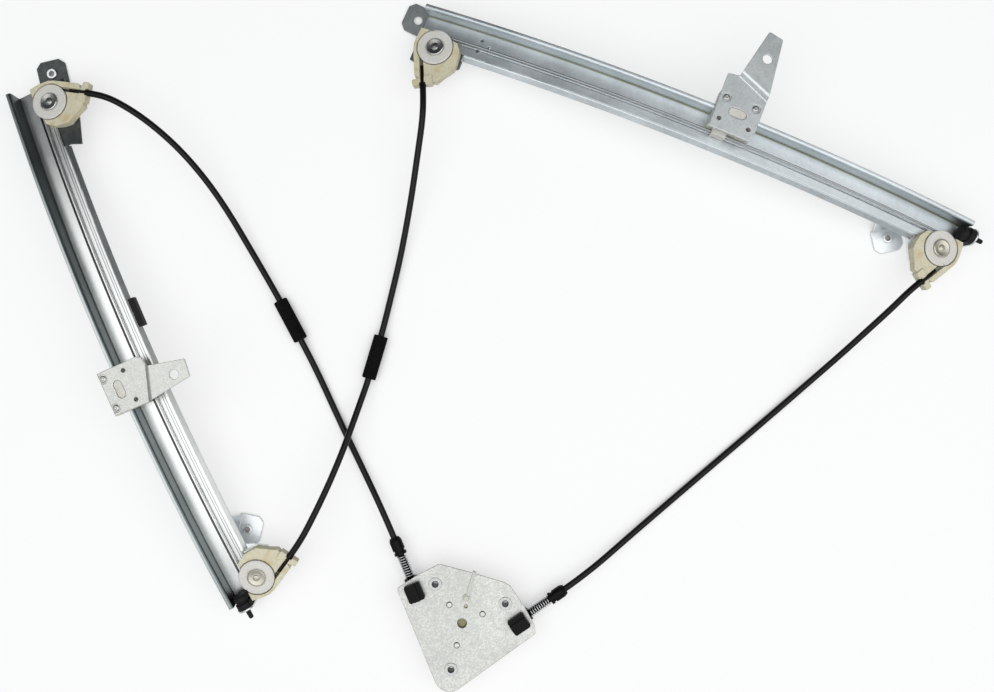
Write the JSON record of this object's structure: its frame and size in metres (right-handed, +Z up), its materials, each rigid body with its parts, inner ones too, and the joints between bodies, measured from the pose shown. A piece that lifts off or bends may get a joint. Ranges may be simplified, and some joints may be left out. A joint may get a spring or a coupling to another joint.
{
  "type": "cable window regulator",
  "caption": "Twin-rail cable window regulator: two curved guide rails with glass carriers, corner pulleys, cable conduits and a motor drum unit.",
  "frame": {"origin": "middle of the overall footprint without the cable conduits, on the ground plane that the four bracket feet and the drum housing stand on", "axes": "+X across both rails towards the right-hand rail's stop end, +Y towards the rails' upper ends, +Z up, away from the door panel, so the carriers and pulleys face +Z"},
  "size_m": [0.8343, 0.593, 0.065],
  "materials": {
    "zinc_plated_sheet": "zinc-plated sheet steel, slightly dull",
    "galvanised_plate": "galvanised sheet steel, dull",
    "beige_nylon": "moulded beige nylon, satin",
    "white_nylon": "moulded white nylon, satin",
    "rivet_steel": "passivated rivet steel",
    "bright_steel": "bright drawn steel",
    "cable_steel": "stranded galvanised steel, greased",
    "black_plastic": "black moulded plastic, satin",
    "black_rubber": "black rubber, matt",
    "black_foam": "black foam sleeve, matt"
  },
  "bodies": {
    "frame": {"crossing_conduit": "black_plastic", "crossing_sleeve": "black_foam", "drum_cable_leads": "cable_steel", "drum_housing": "beige_nylon", "drum_plate": "galvanised_plate", "drum_plate_rivets": "rivet_steel", "drum_spindle": "rivet_steel", "left_anti_rattle_pad": "black_rubber", "left_cable_liners": "black_plastic", "left_cable_socket": "black_plastic", "left_lower_bracket": "zinc_plated_sheet", "left_lower_pulley_housing": "beige_nylon", "left_lower_pulley_rivet": "rivet_steel", "left_rail": "zinc_plated_sheet", "left_rail_cable": "cable_steel", "left_rubber_stop": "black_rubber", "left_tension_spring": "bright_steel", "left_threaded_bushes": "bright_steel", "left_upper_bracket": "zinc_plated_sheet", "left_upper_pulley_housing": "beige_nylon", "left_upper_pulley_rivet": "rivet_steel", "lower_right_conduit": "black_plastic", "motor_bosses": "rivet_steel", "right_cable_liners": "black_plastic", "right_cable_socket": "black_plastic", "right_lower_bracket": "zinc_plated_sheet", "right_lower_pulley_housing": "beige_nylon", "right_lower_pulley_rivet": "rivet_steel", "right_rail": "zinc_plated_sheet", "right_rail_cable": "cable_steel", "right_rubber_stop": "black_rubber", "right_tension_spring": "bright_steel", "right_threaded_bushes": "bright_steel", "right_upper_bracket": "zinc_plated_sheet", "right_upper_pulley_housing": "beige_nylon", "right_upper_pulley_rivet": "rivet_steel", "transport_tie": "black_plastic", "upper_left_conduit": "black_plastic", "upper_left_sleeve": "black_foam"},
    "left_carrier": {"left_carrier_plate": "galvanised_plate", "left_slider": "beige_nylon", "left_carrier_rivets": "rivet_steel", "left_cable_nipples": "bright_steel"},
    "right_carrier": {"right_carrier_plate": "galvanised_plate", "right_slider": "beige_nylon", "right_carrier_rivets": "rivet_steel", "right_cable_nipples": "bright_steel"},
    "left_upper_pulley": {"left_upper_pulley": "white_nylon"},
    "left_lower_pulley": {"left_lower_pulley": "white_nylon"},
    "right_upper_pulley": {"right_upper_pulley": "white_nylon"},
    "right_lower_pulley": {"right_lower_pulley": "white_nylon"},
    "drum": {"cable_drum": "white_nylon", "drum_cable_turns": "cable_steel"},
    "left_ferrule": {"left_ferrule": "black_plastic"},
    "right_ferrule": {"right_ferrule": "black_plastic"}
  },
  "joints": [
    {"name": "left_carrier_travel", "type": "hinge", "parent": "frame", "child": "left_carrier", "pos_m": [-0.19911, 0.04428, -1.05531], "axis": [0.9118, 0.3972, 0.1045], "range_deg": [-11.51, 8.99]},
    {"name": "right_carrier_travel", "type": "hinge", "parent": "frame", "child": "right_carrier", "pos_m": [0.12269, 0.06479, -1.05211], "axis": [0.3669, 0.9234, -0.1132], "range_deg": [-11.52, 9]},
    {"name": "left_upper_pulley_spin", "type": "hinge", "parent": "frame", "child": "left_upper_pulley", "pos_m": [-0.37946, 0.20589, 0.02234], "axis": [-0.1735, 0.1419, 0.9746], "range_deg": [-1026.29, 801.75]},
    {"name": "left_lower_pulley_spin", "type": "hinge", "parent": "frame", "child": "left_lower_pulley", "pos_m": [-0.20357, -0.19786, 0.02234], "axis": [-0.0143, -0.2237, 0.9746], "range_deg": [-1026.29, 801.75]},
    {"name": "right_upper_pulley_spin", "type": "hinge", "parent": "frame", "child": "right_upper_pulley", "pos_m": [-0.05162, 0.25235, 0.02232], "axis": [-0.1537, 0.1802, 0.9715], "range_deg": [-801.75, 1026.29]},
    {"name": "right_lower_pulley_spin", "type": "hinge", "parent": "frame", "child": "right_lower_pulley", "pos_m": [0.37819, 0.08157, 0.02232], "axis": [0.2355, 0.0256, 0.9715], "range_deg": [-801.75, 1026.29]},
    {"name": "drum_spin", "type": "hinge", "parent": "frame", "child": "drum", "pos_m": [-0.0289, -0.2381, 0.01], "axis": [0, 0, 1], "range_deg": [-368.75, 471.87]},
    {"name": "left_ferrule_slide", "type": "slide", "parent": "frame", "child": "left_ferrule", "axis": [0.3843, -0.9232, 0], "range_m": [0, 0.004], "stiffness_N_per_m": 1500, "springref_m": -0.008, "deforming": ["left_tension_spring"]},
    {"name": "right_ferrule_slide", "type": "slide", "parent": "frame", "child": "right_ferrule", "axis": [-0.8281, -0.5606, 0], "range_m": [0, 0.004], "stiffness_N_per_m": 1500, "springref_m": -0.008, "deforming": ["right_tension_spring"]}
  ],
  "couplings": [
    {"joint": "right_carrier_travel", "follows": "left_carrier_travel", "ratio": 1},
    {"joint": "left_upper_pulley_spin", "follows": "left_carrier_travel", "ratio": 89.069},
    {"joint": "left_lower_pulley_spin", "follows": "left_carrier_travel", "ratio": 89.069},
    {"joint": "right_upper_pulley_spin", "follows": "left_carrier_travel", "ratio": -89.069},
    {"joint": "right_lower_pulley_spin", "follows": "left_carrier_travel", "ratio": -89.069},
    {"joint": "drum_spin", "follows": "left_carrier_travel", "ratio": -40.906}
  ]
}
